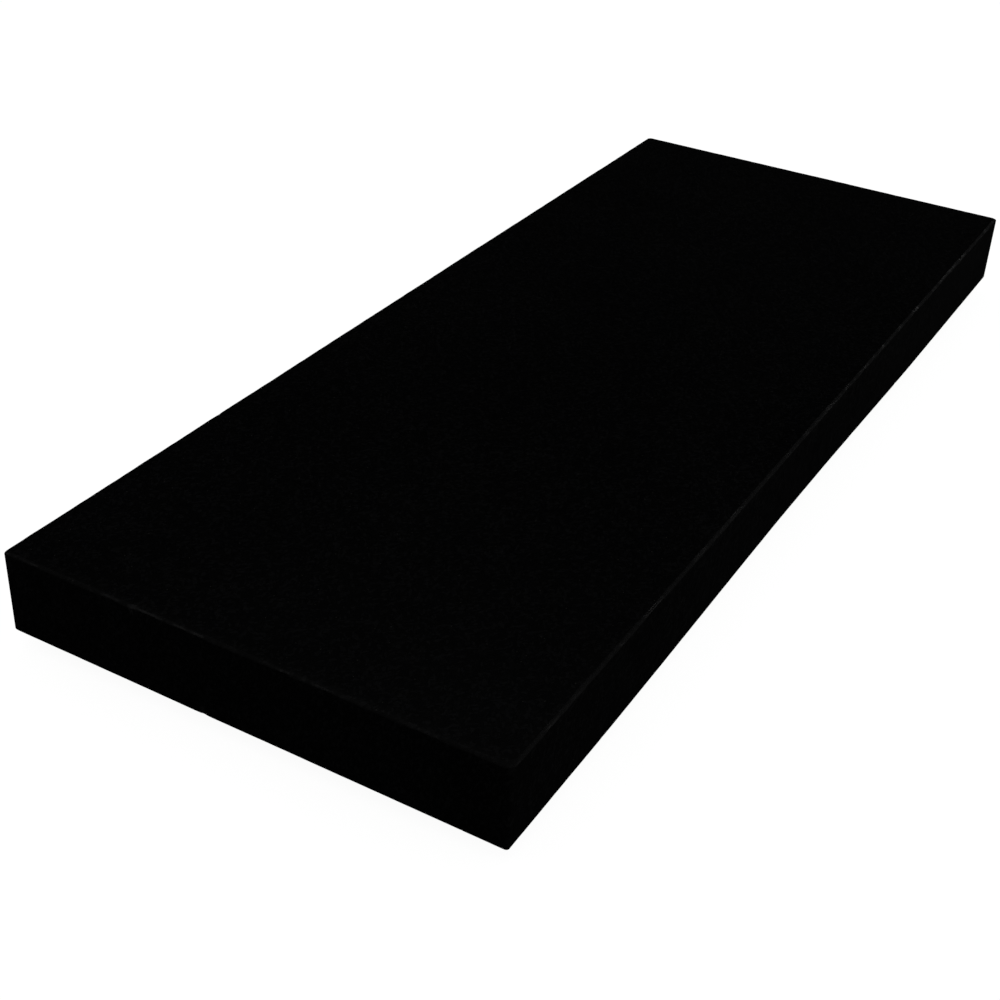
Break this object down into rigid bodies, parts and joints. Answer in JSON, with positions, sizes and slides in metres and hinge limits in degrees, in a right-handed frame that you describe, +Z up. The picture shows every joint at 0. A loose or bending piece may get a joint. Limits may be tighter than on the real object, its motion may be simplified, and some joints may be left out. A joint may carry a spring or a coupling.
{
  "type": "granite slab",
  "caption": "Rectangular black granite slab with eased edges on small self-adhesive bumper feet: a hard, flat, heavy surface for stamping, punching and skiving leather.",
  "frame": {"origin": "under the middle of the slab, at the height of the surface that the feet stand on", "axes": "+Z up, out of the polished working face; +X along the slab's length; +Y across its width, away from the front"},
  "size_m": [0.3, 0.12, 0.024],
  "materials": {
    "granite": "polished",
    "bumper_rubber": "matte",
    "adhesive": "matte"
  },
  "bodies": {
    "root": {"granite_slab": "granite", "bumper_foot_front_left": "bumper_rubber", "bumper_foot_front_right": "bumper_rubber", "bumper_foot_back_left": "bumper_rubber", "bumper_foot_back_right": "bumper_rubber", "adhesive_disc_front_left": "adhesive", "adhesive_disc_front_right": "adhesive", "adhesive_disc_back_left": "adhesive", "adhesive_disc_back_right": "adhesive"}
  },
  "joints": []
}
